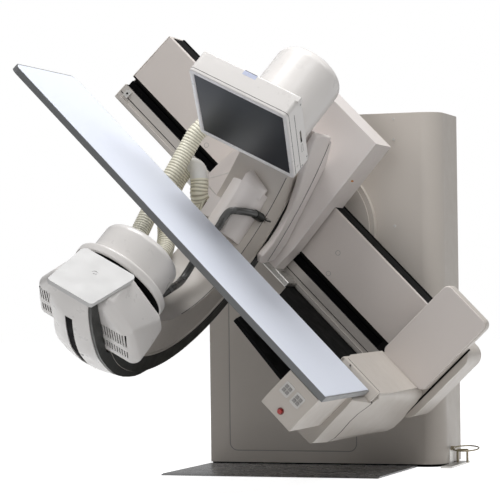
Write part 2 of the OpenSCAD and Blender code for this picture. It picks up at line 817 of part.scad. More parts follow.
module detector_panel() {
  color([0.16, 0.18, 0.2]) df() box([-253.5, -236.5, -2], [253.5, 236.5, 10]);
}

flange_lo = -748;
flange_t = 48;
cup_h = 176;
// The cup turns just clear of the flange
cup_gap = 0.3;

module ring_flange() {
  color([0.92, 0.91, 0.89]) cf() translate([0, 0, flange_lo]) cylinder(r = 243, h = flange_t, $fn = 96);
}

module collimator_cup() {
  color([0.92, 0.91, 0.89]) cf() translate([0, 0, flange_lo + flange_t + cup_gap]) difference() {
    union() {
      cylinder(r = 198, h = cup_h - 40, $fn = 96);
      translate([0, 0, cup_h - 40]) cylinder(r = 160, h = 40, $fn = 96);
      translate([0, 0, cup_h - 40]) rotate_extrude($fn = 96) translate([158, 0]) intersection() {
        circle(r = 40, $fn = 48);
        square(60);
      }
    }
    translate([0, 0, cup_h - 15]) cube([180, 180, 60], center = true);
  }
}

// ---------------------------------------------------------------- tabletop

module table_slide() {
  color([0.7, 0.7, 0.7]) tf() {
    for (y = [top_y0 + 110, top_y0 + top_w - 130]) box([300, y, top_lo - 8], [1040, y + 40, top_lo - 0.5]);
  }
}

// The tabletop's outline, with round corners at the head end
module top_outline(inset) {
  l = top_l - 2 * inset;
  w = top_w - 2 * inset;
  r = top_r - inset;
  translate([-l / 2 + r, -w / 2]) square([l - r, w]);
  translate([-l / 2, -w / 2 + r]) square([l, w - 2 * r]);
  for (s = [-1, 1]) translate([-l / 2 + r, s * (w / 2 - r)]) circle(r = r);
}

module at_top() { tf() translate([top_u0 + top_l / 2, top_y0 + top_w / 2, top_lo]) children(); }

module tabletop() { color([0.86, 0.9, 0.96]) at_top() linear_extrude(top_t) top_outline(6); }

module table_edge() {
  color([0.35, 0.37, 0.37]) at_top() difference() {
    linear_extrude(top_t - 2) top_outline(0);
    translate([0, 0, -1]) linear_extrude(top_t + 2) top_outline(6);
  }
}

floor_plate();
base_frame();
stand_cover();
service_door();
stand_plinth();
cover_screws();
bearing_ring();
side_foot();
tie_ring();
tilt_hub();
beam_frame();
beam_cover();
beam_end_cap();
guide_rails();
slot_screws();
rear_strip();
end_housing();
end_panel();
rear_cover();
cross_housing();
bottom_cover();
front_cover();
support_arm();
control_box();
keypad_frames();
key_1();
key_2();
key_3();
key_4();
key_5();
key_6();
key_7();
key_8();
stop_button();
carriage_box();
carriage_foot();
status_lamp();
sleeve();
sleeve_cheeks();
c_arc();
arc_cover();
arc_rims();
end_band();
end_slot();
tube_housing();
front_plate();
tube_neck();
hood();
hose_manifold();
hose_upper();
hose_lower();
power_cable();
detector_arm();
detector_housing();
detector_panel();
ring_flange();
collimator_cup();
table_slide();
tabletop();
table_edge();
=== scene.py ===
import json
import math
import bmesh
import bpy
from mathutils import Matrix, Vector


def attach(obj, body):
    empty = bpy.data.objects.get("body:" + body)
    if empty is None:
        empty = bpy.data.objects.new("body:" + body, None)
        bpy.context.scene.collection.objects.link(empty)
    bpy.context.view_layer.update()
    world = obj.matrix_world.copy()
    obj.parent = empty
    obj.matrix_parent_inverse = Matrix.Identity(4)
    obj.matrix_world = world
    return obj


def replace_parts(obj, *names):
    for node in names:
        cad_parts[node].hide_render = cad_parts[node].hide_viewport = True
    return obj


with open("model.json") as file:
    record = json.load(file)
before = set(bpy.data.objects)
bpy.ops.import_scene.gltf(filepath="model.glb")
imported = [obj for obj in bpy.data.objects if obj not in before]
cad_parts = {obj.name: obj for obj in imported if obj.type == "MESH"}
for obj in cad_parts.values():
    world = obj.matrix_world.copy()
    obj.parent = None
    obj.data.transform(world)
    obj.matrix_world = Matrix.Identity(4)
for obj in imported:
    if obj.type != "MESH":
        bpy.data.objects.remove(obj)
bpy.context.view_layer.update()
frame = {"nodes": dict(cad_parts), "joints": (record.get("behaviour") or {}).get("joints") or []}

# An x-ray machine: floor stand, tilting table, and a C-arm with tube head and detector.
# Sizes and places are in metres, the routes of hoses and cables in millimetres.

nodes = frame["nodes"]
joint = {j["name"]: j for j in frame["joints"]}


# -------------------------------------------------------- frames of the machine's own parts

def frame_at(origin, x, z):
    """The matrix of a frame with this origin, x axis and z axis."""
    y = z.cross(x)
    m = Matrix.Identity(4)
    for row in range(3):
        m[row][0], m[row][1], m[row][2], m[row][3] = x[row], y[row], z[row], origin[row]
    return m


head_offset = 0.040         # tube head, off the middle of the C-arm
detector_front = 0.304      # detector's front face, from the C-arm's centre
detector_turned = -4        # degrees, as the machine rests

along_table = Vector(joint["table_lengthways"]["axis"]).normalized()
across_arm = -Vector(joint["arm_orbit"]["axis"]).normalized()
to_detector = Vector(joint["detector_height"]["axis"]).normalized()
to_stand = Vector((0, 1, 0))
tilt_axle = Vector(joint["table_tilt"]["pos_m"])
arm_centre = Vector(joint["arm_swing"]["pos_m"])

table_m = frame_at(tilt_axle, along_table, along_table.cross(to_stand))
arm_m = frame_at(arm_centre, across_arm, across_arm.cross(to_stand))
c_m = frame_at(arm_centre, across_arm, to_detector)
head_m = c_m @ Matrix.Translation((head_offset, 0, 0))
detector_m = (c_m @ Matrix.Rotation(math.radians(detector_turned), 4, "Z")
              @ Matrix.Translation((0, 0, detector_front)))
# Turn a flat outline to face along x, or towards the operator
outline_to_x = Matrix(((0, 0, 1, 0), (1, 0, 0, 0), (0, 1, 0, 0), (0, 0, 0, 1)))
outline_to_front = Matrix.Rotation(math.pi / 2, 4, "X")


def in_scene(name, data):
    obj = bpy.data.objects.new(name, data)
    bpy.context.scene.collection.objects.link(obj)
    return obj


# -------------------------------------------------------- node trees

class Tree:
    """A node tree being built, with short calls for its nodes and links."""

    def __init__(self, tree, empty=True):
        self.tree = tree
        if empty:
            tree.nodes.clear()

    def add(self, kind, **settings):
        node = self.tree.nodes.new(kind)
        inputs = settings.pop("inputs", {})
        for name, value in settings.items():
            setattr(node, name, value)
        for name, value in inputs.items():
            if isinstance(value, bpy.types.NodeSocket):
                self.link(value, node.inputs[name])
            else:
                node.inputs[name].default_value = value
        return node

    def link(self, a, b):
        self.tree.links.new(a, b)

    def math(self, operation, a, b=None):
        values = {0: a} if b is None else {0: a, 1: b}
        return self.add("ShaderNodeMath", operation=operation, inputs=values).outputs[0]


def geometry_tree(name, inputs):
    """A group with a geometry input and these others; gives the group, tree and input node."""
    group = bpy.data.node_groups.new(name, "GeometryNodeTree")
    sockets = group.interface
    sockets.new_socket("Geometry", in_out="INPUT", socket_type="NodeSocketGeometry")
    for label, (kind, value) in inputs.items():
        socket = sockets.new_socket(label, in_out="INPUT", socket_type="NodeSocket" + kind)
        if value is not None:
            socket.default_value = value
    sockets.new_socket("Geometry", in_out="OUTPUT", socket_type="NodeSocketGeometry")
    t = Tree(group)
    return group, t, t.add("NodeGroupInput")


def finish_tree(t, geometry, material):
    """Ends a tree with plain geometry that carries its material."""
    real = t.add("GeometryNodeRealizeInstances", inputs={"Geometry": geometry})
    made = t.add("GeometryNodeSetMaterial", inputs={"Geometry": real.outputs["Geometry"],
                                                    "Material": material})
    t.add("NodeGroupOutput", inputs={"Geometry": made.outputs["Geometry"]})


# -------------------------------------------------------- finishes

def shade(colour, k):
    return (min(1, colour[0] * k), min(1, colour[1] * k), min(1, colour[2] * k), 1)


def surface(name, colour, rough, metal=0.0, cloud=0.03, cloud_size=0.25, grain=0.0004,
            grain_size=0.003, rough_spread=0.08, coat=0.0, stretch=None, specular=0.5):
    """A finish with soft clouding in its colour, uneven gloss and a fine grain in its relief."""
    mat = bpy.data.materials.new(name)
    mat.use_nodes = True
    t = Tree(mat.node_tree)
    where = t.add("ShaderNodeTexCoord").outputs["Object"]
    if stretch:
        where = t.add("ShaderNodeMapping",
                      inputs={"Vector": where, "Scale": stretch}).outputs["Vector"]

    def noise(scale, detail):
        return t.add("ShaderNodeTexNoise", inputs={"Vector": where, "Scale": scale,
                                                   "Detail": detail}).outputs["Fac"]

    clouds = noise(1 / cloud_size, 4.0)
    smears = noise(3.7 / cloud_size, 6.0)
    fine = noise(1 / grain_size, 2.0)
    tone = t.add("ShaderNodeMix", data_type="RGBA", clamp_factor=True,
                 inputs={0: clouds, 6: shade(colour, 1 - cloud), 7: shade(colour, 1 + cloud)})
    gloss = t.add("ShaderNodeMapRange",
                  inputs={"Value": smears, "From Min": 0.3, "From Max": 0.7,
                          "To Min": max(0.03, rough - rough_spread),
                          "To Max": min(1.0, rough + rough_spread)})
    relief = t.add("ShaderNodeBump", inputs={"Height": fine, "Distance": grain,
                                             "Strength": 0.6})
    out = t.add("ShaderNodeOutputMaterial")
    body = t.add("ShaderNodeBsdfPrincipled",
                 inputs={"Metallic": metal, "Coat Weight": coat, "Specular IOR Level": specular,
                         "Base Color": tone.outputs[2], "Roughness": gloss.outputs["Result"],
                         "Normal": relief.outputs["Normal"]})
    t.link(body.outputs["BSDF"], out.inputs["Surface"])
    return mat


enamel = surface("warm grey enamel", (0.57, 0.525, 0.478), 0.42, cloud=0.025, grain=0.0003,
                 grain_size=0.004)
enamel_light = surface("pale enamel", (0.75, 0.70, 0.675), 0.38, cloud=0.02, grain=0.0002,
                       grain_size=0.004)
white_shell = surface("white moulded cover", (0.72, 0.695, 0.675), 0.33, cloud=0.015,
                      grain=0.0002, coat=0.15)
plate_white = surface("matt white plate", (0.61, 0.605, 0.60), 0.5, cloud=0.01, grain=0.0001)
panel_paint = surface("silver grey panel", (0.68, 0.625, 0.59), 0.4, cloud=0.02, grain=0.0002)
# Near black with almost no sheen: dark steel, and also painted shade where the beam frame shows in
# the slot and under the tabletop.
dark_steel_and_shade = surface("dark steel and painted shade", (0.010, 0.0095, 0.0095), 0.6, cloud=0.08,
                     specular=0.05)
floor_steel = surface("slate floor plate", (0.15, 0.15, 0.155), 0.27, cloud=0.06,
                      cloud_size=0.3, grain=0.00005, rough_spread=0.05)
bare_steel = surface("brushed steel", (0.56, 0.55, 0.53), 0.32, metal=0.9, cloud=0.06,
                     grain=0.0002, stretch=(1, 1, 18))
rail_steel = surface("drawn rail", (0.50, 0.47, 0.44), 0.4, metal=0.2, cloud=0.04,
                     stretch=(2, 12, 2))
black_rubber = surface("black rubber", (0.013, 0.014, 0.012), 0.4, cloud=0.2, grain=0.0003,
                       specular=0.2)
black_plastic = surface("black plastic", (0.008, 0.008, 0.008), 0.6, cloud=0.15,
                        specular=0.02)
# Painted shade: near black with almost no sheen, for slots, gaps, holes and seams that lie in
# shade.
painted_shade_black = surface("shadowed slot", (0.004, 0.004, 0.0045), 0.8, cloud=0.2, specular=0.05)
cable_rubber = surface("grey black rubber", (0.055, 0.055, 0.053), 0.28, cloud=0.2,
                       grain=0.0002)
socket_brown = surface("brown socket", (0.085, 0.07, 0.055), 0.5, cloud=0.15, cloud_size=0.01)
seam_dark = surface("dark seam", (0.022, 0.019, 0.018), 0.7, cloud=0.15, cloud_size=0.05,
                    specular=0.1)
collar_red = surface("dark red collar", (0.16, 0.015, 0.012), 0.35, cloud=0.06,
                     cloud_size=0.02)
laminate = surface("tabletop laminate", (0.78, 0.82, 0.92), 0.42, cloud=0.015, cloud_size=0.6,
                   grain=0.0, rough_spread=0.0, coat=0.02, specular=0.36)
edge_grey = surface("grey edge profile", (0.17, 0.175, 0.18), 0.4, cloud=0.06)
detector_glass = surface("detector front", (0.013, 0.016, 0.021), 0.3, cloud=0.1,
                         cloud_size=0.5, grain=0.00002, rough_spread=0.0, specular=0.22)
button_red = surface("red button", (0.40, 0.022, 0.018), 0.3, cloud=0.05, cloud_size=0.02)
keypad_grey = surface("keypad frame", (0.66, 0.64, 0.62), 0.45, cloud=0.04, cloud_size=0.01)
key_dark = surface("key cap", (0.30, 0.29, 0.28), 0.45, cloud=0.08, cloud_size=0.01)
amber = surface("amber lens", (0.75, 0.33, 0.10), 0.2, cloud=0.05, cloud_size=0.01)
label_blue = surface("pale blue film", (0.52, 0.56, 0.72), 0.3, cloud=0.03, cloud_size=0.05)
gasket_grey = surface("door gasket", (0.30, 0.285, 0.27), 0.5, cloud=0.04)
fitting_grey = surface("grey sleeve", (0.30, 0.30, 0.29), 0.4, cloud=0.05, cloud_size=0.05)
bronze = surface("dark bronze", (0.22, 0.19, 0.13), 0.35, metal=0.7, cloud=0.12,
                 cloud_size=0.03)
brass = surface("brass plug", (0.55, 0.42, 0.20), 0.3, metal=0.9, cloud=0.05,
                cloud_size=0.01)

FINISH = {
    floor_steel: ["floor_plate"],
    # Painted shade in part: these frames are near black so they read as shade.
    dark_steel_and_shade: ["base_frame", "tilt_hub", "beam_frame"],
    enamel: ["stand_cover", "bearing_ring", "cross_housing", "bottom_cover", "front_cover",
             "rear_cover", "end_housing", "control_box", "c_arc", "arc_cover", "beam_end_cap"],
    plate_white: ["front_plate"],
    panel_paint: ["beam_cover", "end_panel"],
    enamel_light: ["carriage_box", "sleeve", "sleeve_cheeks", "hose_manifold"],
    white_shell: ["end_band", "tube_housing", "hood", "detector_housing", "ring_flange",
                  "collimator_cup"],
    gasket_grey: ["service_door"],
    black_plastic: ["stand_plinth", "rear_strip", "support_arm", "tube_neck"],
    # Painted shade: the end slot is coloured near black for the shade inside it.
    painted_shade_black: ["end_slot"],
    bronze: ["tie_ring"],
    bare_steel: ["cover_screws", "side_foot", "slot_screws", "carriage_foot", "detector_arm",
                 "table_slide"],
    rail_steel: ["guide_rails"],
    black_rubber: ["arc_rims", "power_cable"],
    edge_grey: ["table_edge"],
    detector_glass: ["detector_panel"],
    laminate: ["tabletop"],
    button_red: ["stop_button"],
    amber: ["status_lamp"],
    keypad_grey: ["keypad_frames"],
    key_dark: ["key_%d" % i for i in range(1, 9)],
}
for finish, names in FINISH.items():
    for name in names:
        nodes[name].data.materials.clear()
        nodes[name].data.materials.append(finish)


# -------------------------------------------------------- edges and curves of the CAD nodes

same_point = 2e-5           # corners closer than this are one corner
flat_within = 0.6           # degrees between triangles of one flat face
rounded_from = 35           # degrees between faces whose edge is rounded
smooth_below = 32           # degrees between faces that shade as one curve


def smooth_by_angle():
    """Joins a node's triangles and shades them smooth, except where faces meet at an edge."""
    group, t, given = geometry_tree("crisp edges",
                                    {"Edge angle": ("Float", math.radians(smooth_below))})
    joined = t.add("GeometryNodeMergeByDistance",
                   inputs={"Geometry": given.outputs["Geometry"], "Distance": same_point})
    faces = t.add("GeometryNodeSetShadeSmooth", domain="FACE",
                  inputs={"Geometry": joined.outputs["Geometry"]})
    angle = t.add("GeometryNodeInputMeshEdgeAngle")
    flat = t.add("FunctionNodeCompare", data_type="FLOAT", operation="LESS_THAN",
                 inputs={0: angle.outputs["Unsigned Angle"], 1: given.outputs["Edge angle"]})
    edges = t.add("GeometryNodeSetShadeSmooth", domain="EDGE",
                  inputs={"Geometry": faces.outputs["Geometry"],
                          "Shade Smooth": flat.outputs["Result"]})
    t.add("NodeGroupOutput", inputs={"Geometry": edges.outputs["Geometry"]})
    return group


crisp = smooth_by_angle()


def clear_stored_normals(obj):
    stored = [a.name for a in obj.data.attributes
              if a.name in ("custom_normal", "sharp_edge", "sharp_face")]
    for name in stored:
        obj.data.attributes.remove(obj.data.attributes[name])


def break_edges(name, width):
    """Rounds the edges of a CAD node by width, where it has one, and shades the node."""
    obj = nodes[name]
    clear_stored_normals(obj)
    if width:
        weld = obj.modifiers.new("join", "WELD")
        weld.merge_threshold = same_point
        flat = obj.modifiers.new("one face a side", "DECIMATE")
        flat.decimate_type = "DISSOLVE"
        flat.angle_limit = math.radians(flat_within)
        soft = obj.modifiers.new("broken edges", "BEVEL")
        soft.width = width
        soft.segments = 3
        soft.limit_method = "ANGLE"
        soft.angle_limit = math.radians(rounded_from)
    look = obj.modifiers.new("crisp edges", "NODES")
    look.node_group = crisp
    if width:
        even = obj.modifiers.new("even shading", "WEIGHTED_NORMAL")
        even.keep_sharp = True


EDGES = {"stand_cover": 0.006, "beam_cover": 0.003, "beam_end_cap": 0.003, "end_housing": 0.006,
         "end_panel": 0.004, "rear_cover": 0.010, "cross_housing": 0.003, "bottom_cover": 0.006,
         "front_cover": 0.004, "control_box": 0.007, "support_arm": 0.003, "tabletop": 0.004,
         "carriage_box": 0.007, "carriage_foot": 0.004, "sleeve": 0.006, "sleeve_cheeks": 0.010,
         "end_band": 0.006, "front_plate": 0.005, "ring_flange": 0.012,
         "detector_housing": 0.018}
for name in nodes:
    break_edges(name, EDGES.get(name, 0.0))


# -------------------------------------------------------- hoses and the cable

def spline(p0, p1, p2, p3, t):
    return 0.5 * ((2 * p1) + (p2 - p0) * t + (2 * p0 - 5 * p1 + 4 * p2 - p3) * t * t
                  + (3 * p1 - p0 - 3 * p2 + p3) * t ** 3)


def route(points, per_span=16):
    """A smooth line through points given in millimetres."""
    p = [Vector(q) / 1000 for q in points]
    path = []
    for i in range(len(p) - 1):
        a, d = p[max(i - 1, 0)], p[min(i + 2, len(p) - 1)]
        path += [spline(a, p[i], p[i + 1], d, k / per_span) for k in range(per_span)]
    return path + [p[-1]]


def run_of(name, points, matrix):
    """A curve through the points of a route."""
    path = [matrix @ q for q in route(points)]
    data = bpy.data.curves.new(name, "CURVE")
    data.dimensions = "3D"
    line = data.splines.new("POLY")
    line.points.add(len(path) - 1)
    for point, q in zip(line.points, path):
        point.co = (*q, 1)
    return in_scene(name, data)


def hose_tree():
    """A round hose along a curve, ribbed at an even pitch outside its bare stretch."""
    rib_breadth = 0.55      # under 1 the ribs are broad and the grooves narrow
    group, t, given = geometry_tree("ribbed hose", {
        "Radius": ("Float", 0.04), "Rib depth": ("Float", 0.004), "Rib pitch": ("Float", 0.016),
        "Step": ("Float", 0.0018), "Bare from": ("Float", -1.0), "Bare to": ("Float", -1.0),
        "Material": ("Material", None)})
    asked = given.outputs
    stepped = t.add("GeometryNodeResampleCurve", mode="LENGTH",
                    inputs={"Curve": asked["Geometry"], "Length": asked["Step"]})
    length = t.add("GeometryNodeSplineParameter").outputs["Length"]
    bare = t.math("MULTIPLY", t.math("GREATER_THAN", length, asked["Bare from"]),
                  t.math("LESS_THAN", length, asked["Bare to"]))
    phase = t.math("MULTIPLY", t.math("DIVIDE", length, asked["Rib pitch"]), math.pi)
    size = t.math("ABSOLUTE", t.math("SINE", phase))
    groove_and_shade = t.math("MULTIPLY", t.math("SUBTRACT", 1.0, t.math("POWER", size, rib_breadth)),
                    t.math("SUBTRACT", 1.0, bare))
    radius = t.math("SUBTRACT", asked["Radius"], t.math("MULTIPLY", groove_and_shade, asked["Rib depth"]))
    marked = stepped.outputs["Curve"]
    # The groove depth is also stored as a mask for the painted shade in the grooves.
    for label, value in (("groove_and_shade", groove_and_shade), ("bare", bare)):
        marked = t.add("GeometryNodeStoreNamedAttribute", data_type="FLOAT", domain="POINT",
                       inputs={"Geometry": marked, "Name": label,
                               "Value": value}).outputs["Geometry"]
    ring = t.add("GeometryNodeCurvePrimitiveCircle", inputs={"Resolution": 28, "Radius": 1.0})
    wall = t.add("GeometryNodeCurveToMesh",
                 inputs={"Curve": marked, "Scale": radius,
                         "Profile Curve": ring.outputs["Curve"], "Fill Caps": True})
    smooth = t.add("GeometryNodeSetShadeSmooth", inputs={"Geometry": wall.outputs["Mesh"]})
    finish_tree(t, smooth.outputs["Geometry"], asked["Material"])
    return group


def made_by(name, source, group, **values):
    """The plain mesh that a tree makes from source, which is then removed."""
    mod = source.modifiers.new("maker", "NODES")
    mod.node_group = group
    for item in group.interface.items_tree:
        if item.item_type == "SOCKET" and item.in_out == "INPUT" and item.name in values:
            mod[item.identifier] = values[item.name]
    depsgraph = bpy.context.evaluated_depsgraph_get()
    mesh = bpy.data.meshes.new_from_object(source.evaluated_get(depsgraph), depsgraph=depsgraph)
    bpy.data.objects.remove(source)
    return in_scene(name, mesh)


def hose_finish():
    """Cream ribs with painted shade in the grooves, and a white bare stretch."""
    mat = surface("cream hose", (0.93, 0.90, 0.75), 0.42, cloud=0.04, cloud_size=0.08,
                  grain=0.0002)
    t = Tree(mat.node_tree, empty=False)
    body = next(node for node in mat.node_tree.nodes if node.type == "BSDF_PRINCIPLED")
    tone = body.inputs["Base Color"].links[0].from_socket
    # Painted shade: a dark tan darkens the rib grooves; the bare stretch is whiter.
    for label, colour in (("groove_and_shade", (0.24, 0.19, 0.11, 1)), ("bare", (0.86, 0.85, 0.82, 1))):
        mark = t.add("ShaderNodeAttribute", attribute_name=label)
        tone = t.add("ShaderNodeMix", data_type="RGBA",
                     inputs={0: mark.outputs["Fac"], 6: tone, 7: colour}).outputs[2]
    t.link(tone, body.inputs["Base Color"])
    return mat


ribbed = hose_tree()
hose_cream = hose_finish()


def hose(name, points, radius, mat, step, ribs=(0.0, 1.0), bare=(-1.0, -1.0)):
    """A hose or cable on the C-arm; ribs are their depth and pitch, bare the smooth stretch."""
    obj = made_by(name, run_of(name, points, c_m), ribbed, Radius=radius, Material=mat,
                  **{"Rib depth": ribs[0], "Rib pitch": ribs[1], "Step": step,
                     "Bare from": bare[0], "Bare to": bare[1]})
    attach(obj, "c_arm")
    return obj


HOSE_UPPER = [(-120, 420, 560), (-215, 448, 560), (-320, 475, 490), (-358, 500, 400),
              (-358, 535, 290), (-347, 565, 145), (-335, 600, -60), (-295, 588, -240),
              (-230, 500, -420), (-165, 372, -575), (-150, 318, -660)]
HOSE_LOWER = [(-161, 723, 172), (-192, 721, 171), (-217, 684, 190), (-243, 657, 235),
              (-278, 642, 275), (-314, 643, 285), (-342, 655, 255), (-348, 668, 180),
              (-325, 676, 90), (-275, 685, -20), (-205, 682, -120), (-160, 650, -220),
              (-130, 530, -400), (-66, 376, -575), (-55, 318, -660)]
CABLE = [(40, 330, -660), (50, 375, -570), (50, 480, -430), (25, 600, -300), (5, 612, -120),
         (2, 615, 47), (-2, 606, 101), (9, 592, 145), (47, 593, 171), (88, 615, 202),
         (114, 659, 231), (125, 710, 252)]
LEAD = [(120, 692, 245), (140, 690, 245), (149, 700, 249), (149, 740, 268), (149, 776, 290),
        (141, 800, 300)]
hose_radius = 0.047
hose_ribs = (0.0042, 0.0155)
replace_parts(hose("ribbed_hose_upper", HOSE_UPPER, hose_radius, hose_cream, 0.0018,
                 hose_ribs), "hose_upper")
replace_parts(hose("ribbed_hose_lower", HOSE_LOWER, hose_radius, hose_cream, 0.0018,
                 hose_ribs, bare=(0.150, 0.265)), "hose_lower")
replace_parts(hose("power_cable_run", CABLE, 0.019, cable_rubber, 0.008),
            "power_cable")
hose("thin_lead", LEAD, 0.004, black_rubber, 0.004)


# -------------------------------------------------------- makers of small pieces

def blocks_tree():
    """A block or, with Round on, a disc at every point given."""
    group, t, given = geometry_tree("blocks at points", {
        "Size": ("Vector", None), "Turn": ("Vector", None), "Round": ("Bool", None),
        "Material": ("Material", None)})
    asked = given.outputs
    box = t.add("GeometryNodeMeshCube", inputs={"Size": (1.0, 1.0, 1.0)})
    disc = t.add("GeometryNodeMeshCylinder",
                 inputs={"Vertices": 28, "Radius": 0.5, "Depth": 1.0})
    shape = t.add("GeometryNodeSwitch", input_type="GEOMETRY",
                  inputs={"Switch": asked["Round"], "False": box.outputs["Mesh"],
                          "True": disc.outputs["Mesh"]})
    copies = t.add("GeometryNodeInstanceOnPoints",
                   inputs={"Points": asked["Geometry"], "Instance": shape.outputs["Output"],
                           "Rotation": asked["Turn"], "Scale": asked["Size"]})
    finish_tree(t, copies.outputs["Instances"], asked["Material"])
    return group


blocks = blocks_tree()


def own(obj, body):
    """Faces outward and the body it moves with."""
    bm = bmesh.new()
    bm.from_mesh(obj.data)
    bmesh.ops.recalc_face_normals(bm, faces=bm.faces[:])
    bm.to_mesh(obj.data)
    bm.free()
    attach(obj, body)


def repeated(name, frame_m, points, size, mat, body, turn=(0, 0, 0), is_round=False):
    """The same small block or disc at each point of a frame."""
    mesh = bpy.data.meshes.new(name + "_points")
    mesh.from_pydata([Vector(p) for p in points], [], [])
    obj = made_by(name, in_scene(name + "_points", mesh), blocks, Size=size,
                  Turn=[math.radians(a) for a in turn], Round=is_round, Material=mat)
    obj.data.transform(frame_m)
    own(obj, body)


def drawn(name, bm, frame_m, mat, body):
    """The piece that a bmesh drawn in a frame describes."""
    bm.transform(frame_m)
    mesh = bpy.data.meshes.new(name)
    bm.to_mesh(mesh)
    bm.free()
    mesh.materials.append(mat)
    own(in_scene(name, mesh), body)


def block(name, frame_m, lo, hi, mat, body, edge=0.0):
    """One box between two corners of a frame, with its edges broken."""
    bm = bmesh.new()
    bmesh.ops.create_cube(bm, size=1.0)
    middle = (Vector(lo) + Vector(hi)) / 2
    for vert in bm.verts:
        vert.co = Vector([vert.co[k] * (hi[k] - lo[k]) for k in range(3)]) + middle
    if edge:
        bmesh.ops.bevel(bm, geom=bm.edges[:], offset=edge, segments=2, affect="EDGES",
                        profile=0.5)
    drawn(name, bm, frame_m, mat, body)


def prism(name, frame_m, outer, inner, z0, z1, mat, body, closed=True):
    """A flat ring between two outlines of equal count, from z0 to z1 of a frame."""
    bm = bmesh.new()
    loops = [[bm.verts.new((x, y, z)) for x, y in line] for line, z in
             ((outer, z0), (outer, z1), (inner, z1), (inner, z0))]
    n = len(outer)
    for k in range(n if closed else n - 1):
        m = (k + 1) % n
        for a in range(4):
            b = (a + 1) % 4
            bm.faces.new((loops[a][k], loops[a][m], loops[b][m], loops[b][k]))
    if not closed:
        for k in (0, n - 1):
            bm.faces.new([loop[k] for loop in loops])
    drawn(name, bm, frame_m, mat, body)


def rod(name, frame_m, a, b, radius, mat, body):
    """A round bar between two points of a frame."""
    a, b = Vector(a), Vector(b)
    bm = bmesh.new()
    bmesh.ops.create_cone(bm, cap_ends=True, segments=16, radius1=radius, radius2=radius,
                          depth=(b - a).length)
    bm.transform(Matrix.Translation((a + b) / 2)
                 @ (b - a).to_track_quat("Z", "Y").to_matrix().to_4x4())
    drawn(name, bm, frame_m, mat, body)


def arc(radius, start, stop, steps):
    return [(radius * math.cos(math.radians(start + (stop - start) * k / steps)),
             radius * math.sin(math.radians(start + (stop - start) * k / steps)))
            for k in range(steps + 1)]


def circle(radius, count):
    return arc(radius, 0, 360 * (count - 1) / count, count - 1)


def rounded(w, h, r, steps=6):
    line = []
    for sx, sy, a in ((1, 1, 0), (-1, 1, 90), (-1, -1, 180), (1, -1, 270)):
        line += [(sx * (w / 2 - r) + x, sy * (h / 2 - r) + y) for x, y in arc(r, a, a + 90, steps)]
    return line


def drawn_in(line, by):
    """An outline scaled about the mean of its points."""
    x0, y0 = (sum(p[k] for p in line) / len(line) for k in (0, 1))
    return [(x0 + (x - x0) * by, y0 + (y - y0) * by) for x, y in line]


# -------------------------------------------------------- tube head: painted shade at the bottoms of the vent slots

vent_face = -1.046
first_slot, slot_pitch = 0.110, 0.014
slots = [s * (first_slot + slot_pitch * i) for i in range(10) for s in (1, -1) if s > 0 or i > 3]
for name, y0, y1 in (("vent_shade_long", -0.243, -0.141), ("vent_shade_short", -0.099, -0.037)):
    repeated(name, head_m, [(x, (y0 + y1) / 2, vent_face + 0.0155) for x in slots],
             (0.0069, y1 - y0, 0.0205), painted_shade_black, "c_arm")


# -------------------------------------------------------- detector: seams, label, socket, screws

detector_w, detector_d = 0.560, 0.530
side, front = detector_w / 2, -detector_d / 2
prism("front_frame_seam", detector_m, rounded(detector_w + 0.0006, detector_d + 0.0006, 0.0222),
      rounded(detector_w - 0.004, detector_d - 0.004, 0.020), 0.0125, 0.0150, seam_dark,
      "detector")
block("bare_label", detector_m, (-0.040, front - 0.0005, 0.099), (0.034, front + 0.0002, 0.1235),
      label_blue, "detector")
block("label_top_line", detector_m, (-0.037, front - 0.0008, 0.1228),
      (0.032, front + 0.0002, 0.1252), seam_dark, "detector")
block("side_seam", detector_m, (side - 0.0003, -0.205, 0.0535), (side + 0.0004, 0.243, 0.0560),
      seam_dark, "detector")
block("corner_plug", detector_m, (side - 0.018, front - 0.0008, 0.094),
      (side + 0.0008, -0.242, 0.1275), white_shell, "detector", edge=0.002)
block("side_socket", detector_m, (side - 0.0003, -0.036, 0.080), (side + 0.0006, 0.056, 0.0915),
      socket_brown, "detector")
# Painted shade: a near-black strip inside the side socket.
block("side_socket_shade", detector_m, (side, 0.022, 0.0815), (side + 0.0009, 0.054, 0.0905),
      painted_shade_black, "detector")
prism("side_cover_plate", detector_m @ Matrix.Translation((side, 0.106, 0.086)) @ outline_to_x,
      rounded(0.062, 0.015, 0.003, 2), rounded(0.058, 0.011, 0.002, 2), -0.0002, 0.0006,
      fitting_grey, "detector")
repeated("side_screws", detector_m,
         [(side + 0.0003, y, z) for y, z in ((0.214, 0.114), (-0.222, 0.112), (0.236, 0.070))],
         (0.011, 0.011, 0.0012), fitting_grey, "detector", turn=(0, 90, 0),
         is_round=True)


# -------------------------------------------------------- C-arm: seams, ties, plug, neck

cheek_out = 0.190
arc_inside = 0.745
for side_name, way in (("right", 1), ("left", -1)):
    prism("cheek_seam_" + side_name, arm_m @ outline_to_x, arc(1.0285, -22, 17, 24),
          arc(1.0255, -22, 17, 24), way * (cheek_out - 0.0003), way * (cheek_out + 0.0005),
          seam_dark, "arm_sleeve", closed=False)
prism("arc_cover_seam", c_m @ outline_to_x, arc(arc_inside + 0.0006, -40, 38, 40),
      arc(arc_inside - 0.0014, -40, 38, 40), 0.1395, 0.1420, seam_dark, "c_arm",
      closed=False)

tie_radius = 0.0026
rod("hose_tie_long", c_m, (-0.230, 0.680, 0.283), (-0.147, 0.652, 0.356), tie_radius,
    white_shell, "c_arm")
rod("hose_tie_short", c_m, (-0.212, 0.700, 0.262), (-0.147, 0.742, 0.250), tie_radius,
    white_shell, "c_arm")
rod("cable_plug", c_m, (0.105, 0.641, 0.221), (0.122, 0.694, 0.245), 0.0235, black_rubber,
    "c_arm")
